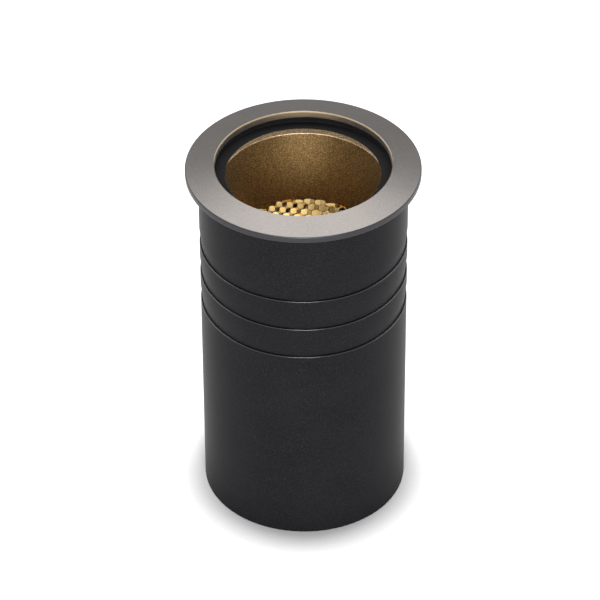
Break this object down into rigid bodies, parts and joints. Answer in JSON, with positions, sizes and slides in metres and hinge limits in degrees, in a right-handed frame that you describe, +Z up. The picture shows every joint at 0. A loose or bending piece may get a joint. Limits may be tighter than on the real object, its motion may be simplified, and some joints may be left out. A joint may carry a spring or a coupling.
{
  "type": "in ground well light",
  "caption": "Round in-ground light: flanged trim over a deep glare cup and honeycomb louvre, on a sealed lamp that lifts out of a ribbed installation sleeve.",
  "frame": {"origin": "on the light's axis, at the level that the installation sleeve stands on", "axes": "+Z up along the light's axis, towards the glass; +X and +Y level"},
  "size_m": [0.075, 0.075, 0.1262],
  "materials": {
    "sleeve_black": "satin black coat",
    "black_plastic": "matt moulded",
    "trim_anodised": "fine satin, grey-bronze anodised",
    "black_rubber": "matt",
    "clear_glass": "polished, anti-reflective",
    "black_print": "fired black print",
    "bronze_anodised": "bead-blasted bronze",
    "gold_foil": "bright gold foil",
    "steel": "plain",
    "clear_optic": "clear moulded",
    "white_board": "white solder mask",
    "phosphor": "silicone and phosphor",
    "grey_pad": "soft",
    "lead_insulation": "extruded",
    "bare_aluminium": "machined",
    "housing_black": "matt powder coat on a casting",
    "green_board": "laminate",
    "brass": "turned",
    "nickelled_brass": "nickel plated",
    "wound_core": "tape-wrapped",
    "capacitor_sleeve": "shrink sleeve",
    "ferrite": "sintered",
    "terminal_grey": "moulded"
  },
  "bodies": {
    "sleeve": {"installation_sleeve": "sleeve_black", "sleeve_base": "black_plastic"},
    "lamp": {"trim_ring": "trim_anodised", "trim_gasket": "black_rubber", "glass_top_gasket": "black_rubber", "front_glass": "clear_glass", "glass_border": "black_print", "glass_seat_gasket": "black_rubber", "glare_cup": "bronze_anodised", "honeycomb_louvre": "gold_foil", "louvre_snap_ring": "steel", "optic_lens": "clear_optic", "optic_holder": "black_plastic", "led_chip": "phosphor", "led_board": "white_board", "led_board_screws": "steel", "thermal_pad": "grey_pad", "led_leads": "lead_insulation", "heat_sink": "bare_aluminium", "heat_sink_screws": "steel", "lamp_housing": "housing_black", "grip_rings": "black_rubber", "driver_board": "green_board", "driver_standoffs": "brass", "driver_screws": "steel", "driver_transformer": "wound_core", "driver_capacitors": "capacitor_sleeve", "driver_inductor": "ferrite", "terminal_block": "terminal_grey", "end_cap": "housing_black", "end_cap_oring": "black_rubber", "end_cap_screws": "steel", "gland_body": "nickelled_brass", "gland_flange_seal": "black_rubber", "gland_locknut": "nickelled_brass", "gland_seal": "black_rubber", "gland_nut": "nickelled_brass", "vent_plug": "black_plastic"}
  },
  "joints": [
    {"name": "lamp_lift", "type": "slide", "parent": "sleeve", "child": "lamp", "axis": [0, 0, 1], "range_m": [0, 0.125]}
  ]
}
